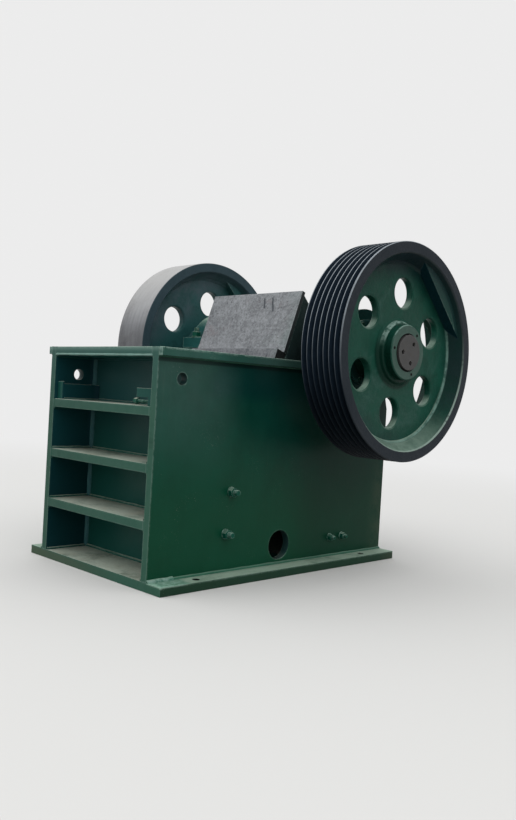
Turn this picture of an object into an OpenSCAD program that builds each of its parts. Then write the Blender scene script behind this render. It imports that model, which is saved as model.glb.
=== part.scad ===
// Jaw crusher: a welded plate frame, a swinging jaw hung on an eccentric shaft,
// a seven-groove sheave on one side and a plain flywheel on the other.
// Units are mm. +X is the sheave side, -Y is the ribbed front, +Z is up.
// Z = 0 is the underside of the base plate, X = Y = 0 the middle of its four bolts.

/* [Frame] */
// Distance over the outer faces of the two side plates
frame_width = 966; // [880:2:1060]
// Length of the side plates and of the base plate
frame_length = 1836; // [1680:4:2000]
// Height of the side plates' top edge
frame_height = 1176; // [1080:2:1280]
// Thickness of a side plate
side_thickness = 45; // [38:1:52]
// Thickness of the base plate
base_thickness = 45; // [35:1:52]
// Width of the base plate over its flanges
base_width = 1188; // [1120:2:1280]
// Thickness of the front wall
wall_thickness = 45; // [38:1:55]
// Depth of the bays in front of the front wall
bay_depth = 262; // [230:2:290]
// Thickness of the front and rear ribs
rib_thickness = 46; // [36:1:52]
// Radius of the lifting holes in the side plates
lifting_hole_radius = 31; // [25:1:36]
// Radius of the access hole low in each side plate
access_hole_radius = 81; // [70:1:86]

/* [Foundation bolts] */
// Distance from the base plate's side edge to its bolt holes
bolt_edge = 49; // [40:1:60]
// Distance from the base plate's ends to its bolt holes
bolt_end = 260.5; // [230:0.5:290]
// Radius of the bolt holes
bolt_hole_radius = 18; // [14:1:20]

/* [Bearings and shaft] */
// Height of the shaft axis over the side plates
shaft_height = 79; // [72:1:88]
// Distance from the shaft axis to the rear end
shaft_to_rear = 461; // [440:1:500]
// Outer radius of a bearing housing
housing_radius = 250; // [240:1:262]
// Width of a bearing housing
housing_width = 200; // [180:2:220]
// Half length of a housing's bolting flange
housing_reach = 310; // [300:2:340]
// Radius of the shaft in its bearings
journal_radius = 100; // [92:1:110]
// Offset of the shaft's middle part from its axis
throw = 12; // [8:1:14]

/* [Wheels] */
// Outer radius of the sheave and of the flywheel
wheel_radius = 608; // [590:1:640]
// Width of both rims
rim_width = 272; // [264:2:290]
// Number of belt grooves
groove_count = 7; // [5:1:7]
// Distance between two grooves
groove_pitch = 37; // [34:0.5:37.5]
// Radial depth of a groove
groove_depth = 25; // [20:1:28]
// Radius of the holes in the wheel webs
web_hole_radius = 84; // [60:1:90]

/* [Jaws] */
// Distance between two teeth of the jaw plates
tooth_pitch = 76; // [60:1:90]
// Height of a tooth
tooth_height = 30; // [20:1:34]
// Distance from the fixed jaw to the moving plate's seat, at the bottom
foot_gap = 163; // [140:1:180]
// Thickness of the guard plate over the moving jaw
guard_thickness = 25; // [20:1:30]
// Length of the guard plate up the face
guard_length = 385; // [340:1:400]

/* [Hidden] */
$fn = 96;
slit = 0.5;
seating = 0.1;
front = -frame_length / 2;
rear = frame_length / 2;
side_x = frame_width / 2;
inner_x = side_x - side_thickness;
wall_y = front + bay_depth;
chamber_y = wall_y + wall_thickness;
rib_tops = [frame_height - 288, frame_height / 2 + 24, 336];
rear_top = frame_height - 246;
bolt_x = base_width / 2 - bolt_edge;
bolt_y = frame_length / 2 - bolt_end;

// shaft axis, bearings and wheels
axis_y = rear - shaft_to_rear;
axis_z = frame_height + shaft_height;
housing_x = [inner_x + 2, inner_x + 2 + housing_width];
split_z = [axis_z - 2, axis_z + 2];
cap_flange = 72;
cover_radius = 190;
cover_thickness = 24;
running_gap = 0.05;
wheel_seat_radius = journal_radius - 10;
seat_x = housing_x[1] + cover_thickness + 4;
hub_inner_x = seat_x + 4;
rim_x = [housing_x[1] + 48, housing_x[1] + 48 + rim_width];
hub_face_x = rim_x[1] - 22;
counterbore = 15;
shaft_end_x = hub_face_x - counterbore - 8;
sheave_web_x = [rim_x[1] - 145, rim_x[1] - 95];
flywheel_web_x = [rim_x[0] + 97, rim_x[0] + 157];
rim_inner_radius = wheel_radius - 63;
web_edge_radius = wheel_radius - 108;
web_hole_circle = wheel_radius * 0.56;
web_hole_turn = 24;
balance_turn = 45;
balance_chord = wheel_radius - 154;

// chamber and swinging jaw
plate_foot_z = base_thickness + 50;
fixed_thick = 95;
jaw_half = inner_x - 58;
jaw_bottom = base_thickness + 35;
guard_foot = [axis_y - 407, axis_z - 30];
jaw_foot_y = chamber_y + fixed_thick + foot_gap;
lean = atan((guard_foot[0] - jaw_foot_y) / (guard_foot[1] - jaw_bottom));
jaw_plate_front = 48;
jaw_plate_length = (guard_foot[1] - plate_foot_z - 5) / cos(lean);
jaw_plate_half = jaw_half - 8;
collar_radius = journal_radius + 50;
collar_x = jaw_half - 40;
crank_radius = journal_radius + 30;
jaw_hub_bore = crank_radius + throw + 23;
jaw_hub_radius = jaw_hub_bore + 85;
jaw_web = 46;
jaw_inner_web_x = 120;
cheek_thickness = 42;
cheek_split_z = 560;
cheek_bolts_at = [[front + 522, 460], [front + 497, 242]];
cheek_bolt_radius = 16;

// toggle and rear end
rear_wall_y = rear - 196;
rear_wall_thickness = 45;
toggle_end_radius = 34;
toggle_clearance = 5;
seat_depth = 221;
guide_z = [350, 545];
guide_thickness = 30;
block_z = guide_z[0] + guide_thickness;
block_depth = 100;
shim_thickness = 28;
shim_count = 3;
block_y = rear_wall_y - shim_count * shim_thickness - block_depth;
rod_z = 150;
rod_radius = 20;
spring_radius = 58;
cup_depth = 45;
cup_wall = 16;

green = [0.13, 0.31, 0.25];
steel = [0.52, 0.53, 0.52];
dark = [0.09, 0.10, 0.12];
cast = [0.36, 0.36, 0.35];

// Y of the guard plane at a height, and of the jaw's own face behind it
function lean_y(z) = guard_foot[0] + (z - guard_foot[1]) * tan(lean);
function face_y(z) = lean_y(z) + guard_thickness / cos(lean);

toggle_front = [face_y(345) + seat_depth, 345];
toggle_rear = [block_y - 8, 455];
rod_eye_y = face_y(rod_z) + 144;

// A block between two corners
module block(a, b) {
    translate([min(a[0], b[0]), min(a[1], b[1]), min(a[2], b[2])])
        cube([abs(b[0] - a[0]), abs(b[1] - a[1]), abs(b[2] - a[2])]);
}

// A plate cut to a side-view outline of [y, z] points, from x0 to x1
module side_cut(points, x0, x1) {
    translate([x0, 0, 0]) rotate([90, 0, 90]) linear_extrude(height = x1 - x0) polygon(points);
}

// A round bar along X from x0 to x1 at [y, z]
module bar_x(r, x0, x1, y, z) {
    translate([min(x0, x1), y, z]) rotate([0, 90, 0]) cylinder(r = r, h = abs(x1 - x0));
}

// A tapered bar along X, radius r0 at x0 and r1 at x1
module cone_x(r0, r1, x0, x1, y, z) {
    translate([x0, y, z]) rotate([0, 90, 0]) cylinder(r1 = r0, r2 = r1, h = x1 - x0);
}

// A round bar along Y from y0 to y1 at [x, z]
module bar_y(r, y0, y1, x, z) {
    translate([x, y0, z]) rotate([-90, 0, 0]) cylinder(r = r, h = y1 - y0);
}

// Six-sided nut or bolt head along X
module hex_x(r, x0, x1, y, z) {
    translate([min(x0, x1), y, z]) rotate([0, 90, 0]) cylinder(r = r, h = abs(x1 - x0), $fn = 6);
}

// A turned ring about the shaft axis, drawn as [radius, x] points
module turned(points) {
    translate([0, axis_y, axis_z]) rotate([0, 90, 0]) rotate_extrude($fn = 160) polygon(points);
}

module on_left() {
    mirror([1, 0, 0]) children();
}

// Base plate with its four bolt holes and the discharge opening
module base_plate() {
    color(green) difference() {
        block([-base_width / 2, front, 0], [base_width / 2, rear, base_thickness]);
        block([38 - inner_x, chamber_y + 13, -1], [inner_x - 38, axis_y - 275, base_thickness + 1]);
        for (sx = [-1, 1], sy = [-1, 1])
            translate([sx * bolt_x, sy * bolt_y, -1]) cylinder(r = bolt_hole_radius, h = base_thickness + 2);
    }
}

// Side plate: square front, cut-off rear corner, round seat for the bearing
module side_plate() {
    x0 = inner_x - 1;
    x1 = side_x + 1;
    difference() {
        side_cut([[front, base_thickness], [rear, base_thickness], [rear, rear_top],
                  [rear - 76, frame_height], [front, frame_height]], inner_x, side_x);
        bar_x(lifting_hole_radius, x0, x1, front + 152, frame_height - 147);
        bar_x(access_hole_radius, x0, x1, axis_y - 467, base_thickness + 104);
        for (p = cheek_bolts_at) bar_x(cheek_bolt_radius, x0, x1, p[0], p[1]);
        bar_x(housing_radius + slit, x0, x1, axis_y, axis_z);
    }
}
module side_plate_right() { color(green) side_plate(); }
module side_plate_left() { color(green) on_left() side_plate(); }

module front_wall() {
    color(green) block([-inner_x, wall_y, base_thickness], [inner_x, chamber_y, frame_height]);
}

module front_rib(top) {
    block([-inner_x, front, top - rib_thickness], [inner_x, wall_y, top]);
}
module front_top_beam() { color(green) front_rib(frame_height); }
module front_rib_upper() { color(green) front_rib(rib_tops[0]); }
module front_rib_middle() { color(green) front_rib(rib_tops[1]); }
module front_rib_lower() { color(green) front_rib(rib_tops[2]); }

// Bar along the top edge of a side plate, up to the bearing seat
module top_flange() {
    block([side_x, front, frame_height - 42],
          [side_x + 30, axis_y - housing_reach, frame_height]);
}
module top_flange_right() { color(green) top_flange(); }
module top_flange_left() { color(green) on_left() top_flange(); }

// Bar on the upper rib beside the side plate, with an end plate at the front
clamp_width = 50;
clamp_front = front + 20;
clamp_end = clamp_front + 12;
clamp_height = 86;
module clamp_bar(rise) {
    z0 = rib_tops[0];
    block([inner_x - clamp_width, clamp_end, z0], [inner_x, wall_y, z0 + clamp_height]);
    block([inner_x - clamp_width, clamp_front, z0], [inner_x, clamp_end, z0 + clamp_height + rise]);
}
clamp_bolt_z = rib_tops[0] + 21;
clamp_nut_radius = 17;
module clamp_bar_right() {
    lug_z = clamp_bolt_z + clamp_nut_radius + 2;
    color(green) {
        clamp_bar(0);
        block([inner_x - clamp_width - 92, clamp_front, lug_z],
              [inner_x - clamp_width, clamp_end + 12, rib_tops[0] + clamp_height]);
    }
}
module clamp_bar_left() { color(green) on_left() clamp_bar(12); }
module clamp_bolt_right() {
    x1 = inner_x - clamp_width;
    y = (clamp_front + clamp_end) / 2;
    color(steel) {
        bar_x(9, x1 - 112, x1, y, clamp_bolt_z);
        hex_x(clamp_nut_radius, x1 - 104, x1 - 80, y, clamp_bolt_z);
    }
}

// Toothed plate profile: rounded teeth as a wave on the -Y side of a slab
tooth_steps = 10;
module toothed(half, thick, pitch, height) {
    count = floor(2 * half / pitch);
    land = half - count * pitch / 2;
    polygon(concat(
        [[half, thick], [-half, thick], [-half, height]],
        [for (i = [0 : count * tooth_steps])
            [land - half + i * pitch / tooth_steps, height * (1 + cos(360 * i / tooth_steps)) / 2]],
        [[half, height]]));
}

module fixed_jaw_plate() {
    color(cast) translate([0, chamber_y + fixed_thick, plate_foot_z]) mirror([0, 1, 0])
        linear_extrude(height = frame_height - 36 - plate_foot_z)
            toothed(inner_x - cheek_thickness - 6, fixed_thick, tooth_pitch, tooth_height);
}

// Lower and upper wear plate on the inside of a side plate, between the two jaws
module cheek_plates() {
    x0 = inner_x - cheek_thickness;
    top = frame_height - 46;
    y0 = chamber_y + slit;
    joint = 4;
    difference() {
        side_cut([[y0, plate_foot_z], [lean_y(plate_foot_z) + 110, plate_foot_z],
                  [lean_y(cheek_split_z) + 110, cheek_split_z], [y0, cheek_split_z]], x0, inner_x);
        for (p = cheek_bolts_at) bar_x(cheek_bolt_radius, x0 - 1, inner_x + 1, p[0], p[1]);
    }
    side_cut([[y0, cheek_split_z + joint], [lean_y(cheek_split_z + joint) + 110, cheek_split_z + joint],
              [lean_y(top - 50) + 110, top - 50], [lean_y(top - 50) + 110, top], [y0, top]], x0, inner_x);
}
module cheek_plates_right() { color(cast) cheek_plates(); }
module cheek_plates_left() { color(cast) on_left() cheek_plates(); }
module cheek_bolts() {
    for (p = cheek_bolts_at) {
        bar_x(cheek_bolt_radius, inner_x - cheek_thickness, side_x + 58, p[0], p[1]);
        hex_x(28, side_x, side_x + 26, p[0], p[1]);
    }
}
module cheek_bolts_right() { color(steel) cheek_bolts(); }
module cheek_bolts_left() { color(steel) on_left() cheek_bolts(); }

// Rear wall with the cup that holds the tension spring
cup_radius = spring_radius + 8;
module rear_wall() {
    y1 = rear_wall_y + rear_wall_thickness;
    color(green) difference() {
        union() {
            block([-inner_x, rear_wall_y, base_thickness], [inner_x, y1, rear_top]);
            bar_y(cup_radius + cup_wall, rear_wall_y - cup_depth - cup_wall, rear_wall_y + 1, 0, rod_z);
        }
        bar_y(cup_radius, rear_wall_y - cup_depth, y1 + 1, 0, rod_z);
        bar_y(rod_radius + 8, rear_wall_y - cup_depth - cup_wall - 1, rear_wall_y, 0, rod_z);
    }
}
module rear_ribs() {
    color(green) for (top = [rear_top, (rear_top + rib_tops[2]) / 2, rib_tops[2]])
        block([-inner_x, rear_wall_y + rear_wall_thickness, top - rib_thickness], [inner_x, rear, top]);
}
module adjusting_guides() {
    color(green) for (z = guide_z)
        block([-inner_x, block_y, z], [inner_x, rear_wall_y, z + guide_thickness]);
}

// Centre of the toggle's rear end, in its groove in the block
module adjusting_block() {
    half = inner_x - 28;
    color(cast) difference() {
        block([-half, block_y, block_z], [half, block_y + block_depth, guide_z[1] - 5]);
        bar_x(toggle_end_radius, -half - 1, half + 1, toggle_rear[0], toggle_rear[1]);
    }
}
module adjusting_shims() {
    half = inner_x - 38;
    color(steel) for (i = [0 : shim_count - 1]) {
        y = block_y + block_depth + i * shim_thickness;
        block([i * 12 - half, y, block_z], [half - i * 12, y + shim_thickness, guide_z[1] - 9 - i * 6]);
    }
}
module toggle_plate() {
    half = jaw_half - 50;
    rise = toggle_rear - toggle_front;
    color(cast) {
        bar_x(toggle_end_radius, -half, half, toggle_rear[0], toggle_rear[1]);
        bar_x(toggle_end_radius, -half, half, toggle_front[0], toggle_front[1]);
        translate([-half, toggle_front[0], toggle_front[1]]) rotate([atan2(rise[1], rise[0]), 0, 0])
            translate([0, 0, -27]) cube([2 * half, norm(rise), 54]);
    }
}
spring_front = rear_wall_y - cup_depth + 20;
washer_thickness = 10;
module tension_spring() {
    color(dark) difference() {
        bar_y(spring_radius, spring_front, rear - washer_thickness, 0, rod_z);
        bar_y(spring_radius - 20, spring_front - 1, rear - washer_thickness + 1, 0, rod_z);
    }
}
module rear_bolts() {
    for (y = [axis_y - 34, axis_y + 78]) hex_x(20, side_x, side_x + 18, y, base_thickness + 112);
}
module rear_bolts_right() { color(steel) rear_bolts(); }
module rear_bolts_left() { color(steel) on_left() rear_bolts(); }

// Saddle welded outside the side plate, under the overhanging bearing housing
module bearing_seat() {
    low = axis_z - housing_radius - 45;
    difference() {
        side_cut([[axis_y - housing_reach, frame_height], [axis_y - housing_reach, frame_height - 60],
                  [axis_y - 180, low], [axis_y + 180, low],
                  [axis_y + housing_reach, frame_height - 60], [axis_y + housing_reach, frame_height]],
                 side_x, housing_x[1]);
        bar_x(housing_radius + slit, side_x - 1, housing_x[1] + 1, axis_y, axis_z);
    }
}
module bearing_seat_right() { color(green) bearing_seat(); }
module bearing_seat_left() { color(green) on_left() bearing_seat(); }

// A round housing with two flanges, cut at the split: keep is the part between two heights
module housing_body(z0, z1, keep) {
    difference() {
        union() {
            block([housing_x[0], axis_y - housing_reach, z0], [housing_x[1], axis_y + housing_reach, z1]);
            intersection() {
                bar_x(housing_radius, housing_x[0], housing_x[1], axis_y, axis_z);
                block([housing_x[0] - 1, axis_y - housing_radius - 1, keep[0]],
                      [housing_x[1] + 1, axis_y + housing_radius + 1, keep[1]]);
            }
        }
        bar_x(journal_radius + running_gap, housing_x[0] - 1, housing_x[1] + 1, axis_y, axis_z);
    }
}
module bearing_housing() {
    housing_body(frame_height, split_z[0], [axis_z - housing_radius - 1, split_z[0]]);
}
module bearing_cap() {
    housing_body(split_z[1], axis_z + cap_flange, [split_z[1], axis_z + housing_radius + 1]);
}
module bearing_housing_right() { color(green) bearing_housing(); }
module bearing_housing_left() { color(green) on_left() bearing_housing(); }
module bearing_cap_right() { color(green) bearing_cap(); }
module bearing_cap_left() { color(green) on_left() bearing_cap(); }
module bearing_cover() {
    x = housing_x[1];
    turned([[journal_radius + 6, x], [cover_radius, x], [cover_radius, x + 16], [cover_radius - 8, x + 20],
            [journal_radius + 50, x + cover_thickness], [journal_radius + 6, x + cover_thickness]]);
}
module bearing_cover_right() { color(green) bearing_cover(); }
module bearing_cover_left() { color(green) on_left() bearing_cover(); }

// Shaft: two journals and wheel seats, two collars in the jaw, an offset crank between them
module eccentric_shaft() {
    color(steel) {
        for (s = [-1, 1]) {
            bar_x(journal_radius, s * jaw_half, s * seat_x, axis_y, axis_z);
            bar_x(collar_radius, s * collar_x, s * jaw_half, axis_y, axis_z);
            bar_x(wheel_seat_radius, s * seat_x, s * shaft_end_x, axis_y, axis_z);
        }
        bar_x(crank_radius, -collar_x, collar_x, axis_y, axis_z + throw);
    }
}

function groove(x, r) = [[r, x - 15.5], [r - groove_depth, x - 7], [r - groove_depth, x + 7], [r, x + 15.5]];

// Lightening holes through a web, with cast round edges in two steps
module web_holes(web) {
    flare = [[0, 12], [3.5, 3.5], [12, 0]];
    for (i = [0 : 5]) {
        a = web_hole_turn + 60 * i;
        y = axis_y + web_hole_circle * cos(a);
        z = axis_z + web_hole_circle * sin(a);
        bar_x(web_hole_radius, web[0] - 5, web[1] + 5, y, z);
        for (k = [0, 1]) {
            r0 = web_hole_radius + flare[k][1];
            r1 = web_hole_radius + flare[k + 1][1];
            cone_x(r1, r0, web[1] - flare[k + 1][0], web[1] - flare[k][0], y, z);
            cone_x(r0, r1, web[0] + flare[k][0], web[0] + flare[k + 1][0], y, z);
        }
    }
}

// Cast-in balance weight: the part of the rim's round beyond a straight chord
module balance_segment(x0, x1) {
    intersection() {
        bar_x(rim_inner_radius + 10, x0, x1, axis_y, axis_z);
        translate([x0, axis_y, axis_z]) rotate([balance_turn, 0, 0])
            translate([0, balance_chord, -wheel_radius]) cube([x1 - x0, wheel_radius, 2 * wheel_radius]);
    }
}

// Half profile of a wheel up to its tread: bore, hub, web and the two hollow sides of the rim
function wheel_inside(web) = [
    [wheel_seat_radius, hub_inner_x], [150, hub_inner_x], [150, web[0] - 25], [175, web[0]],
    [web_edge_radius - 6, web[0]], [web_edge_radius + 8, web[0] - 16],
    [rim_inner_radius, rim_x[0] + 6], [rim_inner_radius + 6, rim_x[0]], [wheel_radius - 4, rim_x[0]],
    [wheel_radius, rim_x[0] + 4]];
function wheel_outside(web) = [
    [wheel_radius, rim_x[1] - 4], [wheel_radius - 4, rim_x[1]],
    [rim_inner_radius + 6, rim_x[1]], [rim_inner_radius, rim_x[1] - 6],
    [web_edge_radius + 8, web[1] + 16], [web_edge_radius - 6, web[1]], [192, web[1]],
    [178, web[1] + 10], [173, hub_face_x - 48], [166, hub_face_x - 42], [154, hub_face_x - 42],
    [154, hub_face_x - 6], [148, hub_face_x], [106, hub_face_x], [106, hub_face_x - counterbore],
    [wheel_seat_radius, hub_face_x - counterbore]];

module sheave() {
    first = (rim_x[0] + rim_x[1]) / 2 - (groove_count - 1) * groove_pitch / 2;
    color(green) difference() {
        union() {
            turned(concat(wheel_inside(sheave_web_x),
                [for (i = [0 : groove_count - 1]) each groove(first + i * groove_pitch, wheel_radius)],
                wheel_outside(sheave_web_x)));
            balance_segment(rim_x[0] + 60, sheave_web_x[0] + 1);
            balance_segment(sheave_web_x[1] - 1, rim_x[1] - 30);
        }
        web_holes(sheave_web_x);
    }
}
module flywheel() {
    color(green) on_left() difference() {
        union() {
            turned(concat(wheel_inside(flywheel_web_x), wheel_outside(flywheel_web_x)));
            balance_segment(rim_x[0] + 45, flywheel_web_x[0] + 1);
            balance_segment(flywheel_web_x[1] - 1, rim_x[1] - 45);
        }
        web_holes(flywheel_web_x);
    }
}

// Disc on the shaft's end, seated in the hub's counterbore and standing a little proud of it
disc_proud = 12;
disc_radius = 98;
module shaft_disc() {
    floor_x = hub_face_x - counterbore;
    face_x = hub_face_x + disc_proud;
    turned([[0, shaft_end_x], [wheel_seat_radius - 2, shaft_end_x], [wheel_seat_radius - 2, floor_x],
            [disc_radius, floor_x], [disc_radius, face_x - 2], [disc_radius - 2, face_x], [0, face_x]]);
}
module shaft_disc_right() { color(dark) shaft_disc(); }
module shaft_disc_left() { color(dark) on_left() shaft_disc(); }

// Swinging jaw, a ribbed casting: hub round the shaft, front slab, toggle seat and four webs
module movable_jaw() {
    head_z = axis_z + 307;
    slab = 62 / cos(lean);
    head_cut = slab / (1 + tan(lean));
    head_back = [face_y(head_z) + head_cut, head_z - head_cut];
    back_y = toggle_front[0] - 20;
    web_outline = [[face_y(head_z), head_z], [face_y(jaw_bottom), jaw_bottom],
                   [face_y(jaw_bottom) + 178, jaw_bottom], [back_y, 230], [back_y, 420],
                   [axis_y + 0.8 * jaw_hub_radius, axis_z - 0.6 * jaw_hub_radius],
                   [axis_y, axis_z], [axis_y, axis_z + jaw_hub_radius], head_back];
    color(green) difference() {
        union() {
            for (x = [jaw_web / 2 - jaw_half, -jaw_inner_web_x, jaw_inner_web_x, jaw_half - jaw_web / 2])
                side_cut(web_outline, x - jaw_web / 2, x + jaw_web / 2);
            side_cut([[face_y(head_z), head_z], [face_y(jaw_bottom), jaw_bottom],
                      [face_y(jaw_bottom) + slab, jaw_bottom], head_back],
                     -jaw_half, jaw_half);
            side_cut([[face_y(230) + slab / 2, 230], [back_y, 230], [back_y, 420],
                      [back_y - 95, 470], [face_y(470) + slab / 2, 470]], -jaw_half, jaw_half);
            bar_x(jaw_hub_radius, -jaw_half, jaw_half, axis_y, axis_z);
        }
        bar_x(jaw_hub_bore, -collar_x, collar_x, axis_y, axis_z);
        bar_x(collar_radius + running_gap, -jaw_half - 1, jaw_half + 1, axis_y, axis_z);
        bar_x(toggle_end_radius + toggle_clearance, -jaw_half - 1, jaw_half + 1,
              toggle_front[0], toggle_front[1]);
    }
}

// The guard plane's own frame: x across, y along the surface normal, z up the face
module on_face() {
    translate([0, guard_foot[0], guard_foot[1]]) rotate([-lean, 0, 0]) children();
}
module movable_jaw_plate() {
    thick = jaw_plate_front + guard_thickness - seating;
    plain_head = 70;
    color(cast) on_face() translate([0, -jaw_plate_front, 0]) {
        translate([0, 0, -jaw_plate_length]) linear_extrude(height = jaw_plate_length)
            toothed(jaw_plate_half, thick, tooth_pitch, tooth_height);
        translate([-jaw_plate_half, 0, -plain_head]) cube([2 * jaw_plate_half, thick, plain_head]);
    }
}
module jaw_guard_plate() {
    color(steel) on_face() translate([-jaw_half, 0, 1])
        cube([2 * jaw_half, guard_thickness - seating, guard_length]);
}

// Rod from a cross pin between the jaw's inner webs, back through the rear wall to its nut
module tension_rod() {
    pin_half = jaw_inner_web_x - jaw_web / 2;
    color(steel) {
        bar_x(16, -pin_half, pin_half, rod_eye_y, rod_z);
        bar_x(44, -24, 24, rod_eye_y, rod_z);
        bar_y(rod_radius, rod_eye_y + 10, rear + 44, 0, rod_z);
        bar_y(spring_radius - 2, rear - washer_thickness, rear, 0, rod_z);
        translate([0, rear, rod_z]) rotate([-90, 0, 0]) cylinder(r = 34, h = 30, $fn = 6);
    }
}

base_plate();
side_plate_right();
side_plate_left();
front_wall();
front_top_beam();
front_rib_upper();
front_rib_middle();
front_rib_lower();
top_flange_right();
top_flange_left();
clamp_bar_right();
clamp_bar_left();
clamp_bolt_right();
fixed_jaw_plate();
cheek_plates_right();
cheek_plates_left();
cheek_bolts_right();
cheek_bolts_left();
rear_wall();
rear_ribs();
adjusting_guides();
adjusting_block();
adjusting_shims();
toggle_plate();
tension_spring();
rear_bolts_right();
rear_bolts_left();
bearing_seat_right();
bearing_seat_left();
bearing_housing_right();
bearing_housing_left();
bearing_cap_right();
bearing_cap_left();
bearing_cover_right();
bearing_cover_left();
eccentric_shaft();
sheave();
flywheel();
shaft_disc_right();
shaft_disc_left();
movable_jaw();
movable_jaw_plate();
jaw_guard_plate();
tension_rod();
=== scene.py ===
"""Looks of the jaw crusher: paint, bare steel and castings, weld beads, fasteners and the coil spring."""

import math
import random

import bpy
from mathutils import Matrix, Vector


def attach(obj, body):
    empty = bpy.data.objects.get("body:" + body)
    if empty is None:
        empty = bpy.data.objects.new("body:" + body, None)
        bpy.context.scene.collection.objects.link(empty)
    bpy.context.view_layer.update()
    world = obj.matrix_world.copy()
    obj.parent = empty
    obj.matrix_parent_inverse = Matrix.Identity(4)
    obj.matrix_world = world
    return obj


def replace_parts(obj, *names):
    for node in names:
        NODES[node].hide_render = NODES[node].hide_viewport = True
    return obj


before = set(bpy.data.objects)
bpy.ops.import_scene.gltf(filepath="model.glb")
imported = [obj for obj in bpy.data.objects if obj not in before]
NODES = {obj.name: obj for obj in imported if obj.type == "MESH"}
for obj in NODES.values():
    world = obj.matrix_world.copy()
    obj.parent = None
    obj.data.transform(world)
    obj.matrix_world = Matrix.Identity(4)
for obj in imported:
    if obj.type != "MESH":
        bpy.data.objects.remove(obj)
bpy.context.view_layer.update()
X, Y, Z = Vector((1, 0, 0)), Vector((0, 1, 0)), Vector((0, 0, 1))

# Places of the frame in the CAD model, in metres
FRONT, REAR = -0.918, 0.918
INNER_X, SIDE_X = 0.438, 0.483
SIDE_MIDDLE, SIDE_HALF = (INNER_X + SIDE_X) / 2, (SIDE_X - INNER_X) / 2
BASE_TOP, TOP = 0.045, 1.176
WALL_Y, REAR_WALL_Y = -0.656, 0.767
RIB = 0.046
RIB_TOPS = (0.336, 0.612, 0.888, TOP)
REAR_TOPS = (0.336, 0.633, 0.930)
TOP_FLANGE_BOTTOM = 1.134
CLAMP_BAR_X, CLAMP_BAR_START, CLAMP_BAR_TOP = 0.388, -0.886, 0.974
BASE_BOLT_X, BASE_BOLT_Y = 0.545, 0.6575
CHEEK_BOLTS = ((-0.396, 0.46), (-0.421, 0.242))
REAR_BOLTS = ((0.423, 0.157), (0.535, 0.157))
SEAT_FRONT = 0.147
SEAT_EDGE = ((SEAT_FRONT, 1.116), (0.277, 0.96), (0.637, 0.96), (0.767, 1.116), (0.767, TOP))

# Places of the shaft, the wheels, the bearings and the tension rod, in metres
AXIS_Y, AXIS_Z = 0.457, 1.255
WHEEL, RIM_INNER, WEB_EDGE = 0.608, 0.545, 0.5
GROOVE_DEPTH, GROOVE_PITCH, FIRST_TIP_X = 0.025, 0.037, 0.7315
RIM_BACK, RIM_FACE, WEB_FACE, HUB_FACE = 0.688, 0.960, 0.865, 0.938
BALANCE_TURN, BALANCE_CHORD, BALANCE_FACE = 45, 0.454, 0.93
CAP_BOLT_X, CAP_BOLT_REACH, CAP_FLANGE_TOP = 0.54, 0.282, 1.327
COVER_BOLT_X, COVER_BOLT_RADIUS = 0.658, 0.17
ROD_Z, ROD_THREAD_Y = 0.15, 0.947


# Colours and node materials

def rgb(r, g, b):
    """A colour given in screen values from 0 to 255."""
    def linear(c):
        c /= 255
        return c / 12.92 if c <= 0.04045 else ((c + 0.055) / 1.055) ** 2.4
    return (linear(r), linear(g), linear(b), 1.0)


def shade(colour, amount):
    return tuple(min(1.0, c * amount) for c in colour[:3]) + (1.0,)


class Nodes:
    """A node tree built by short calls."""

    def __init__(self, tree):
        self.tree = tree

    def feed(self, socket, value):
        if isinstance(value, bpy.types.NodeSocket):
            self.tree.links.new(value, socket)
        else:
            socket.default_value = value

    def add(self, kind, inputs, **settings):
        node = self.tree.nodes.new("ShaderNode" + kind)
        for key, value in settings.items():
            setattr(node, key, value)
        for key, value in inputs.items():
            self.feed(node.inputs[key], value)
        return node

    def split(self, vector):
        return self.add("SeparateXYZ", {0: vector}).outputs

    def math(self, operation, a, b=0.0):
        return self.add("Math", {0: a, 1: b}, operation=operation).outputs[0]

    def times(self, *values):
        made = values[0]
        for value in values[1:]:
            made = self.math("MULTIPLY", made, value)
        return made

    def plus(self, a, b):
        return self.math("ADD", a, b)

    def minus(self, a, b):
        return self.math("SUBTRACT", a, b)

    def either(self, a, b):
        return self.math("MAXIMUM", a, b)

    def length(self, a, b):
        return self.math("SQRT", self.plus(self.times(a, a), self.times(b, b)))

    def level(self, value, low, high, to_low=0.0, to_high=1.0):
        """A smooth step of a value from to_low at low to to_high at high."""
        inputs = {"Value": value, "From Min": low, "From Max": high, "To Min": to_low, "To Max": to_high}
        return self.add("MapRange", inputs, interpolation_type="SMOOTHSTEP").outputs[0]

    def below(self, value, low, high):
        """1 up to low, falling to 0 at high."""
        return self.level(value, low, high, 1.0, 0.0)

    def near(self, value, middle, half, soft):
        """1 where a value is within half of middle."""
        return self.below(self.math("ABSOLUTE", self.minus(value, middle)), half, half + soft)

    def mix(self, factor, a, b):
        return self.add("Mix", {0: factor, 6: a, 7: b}, data_type="RGBA").outputs[2]


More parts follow.
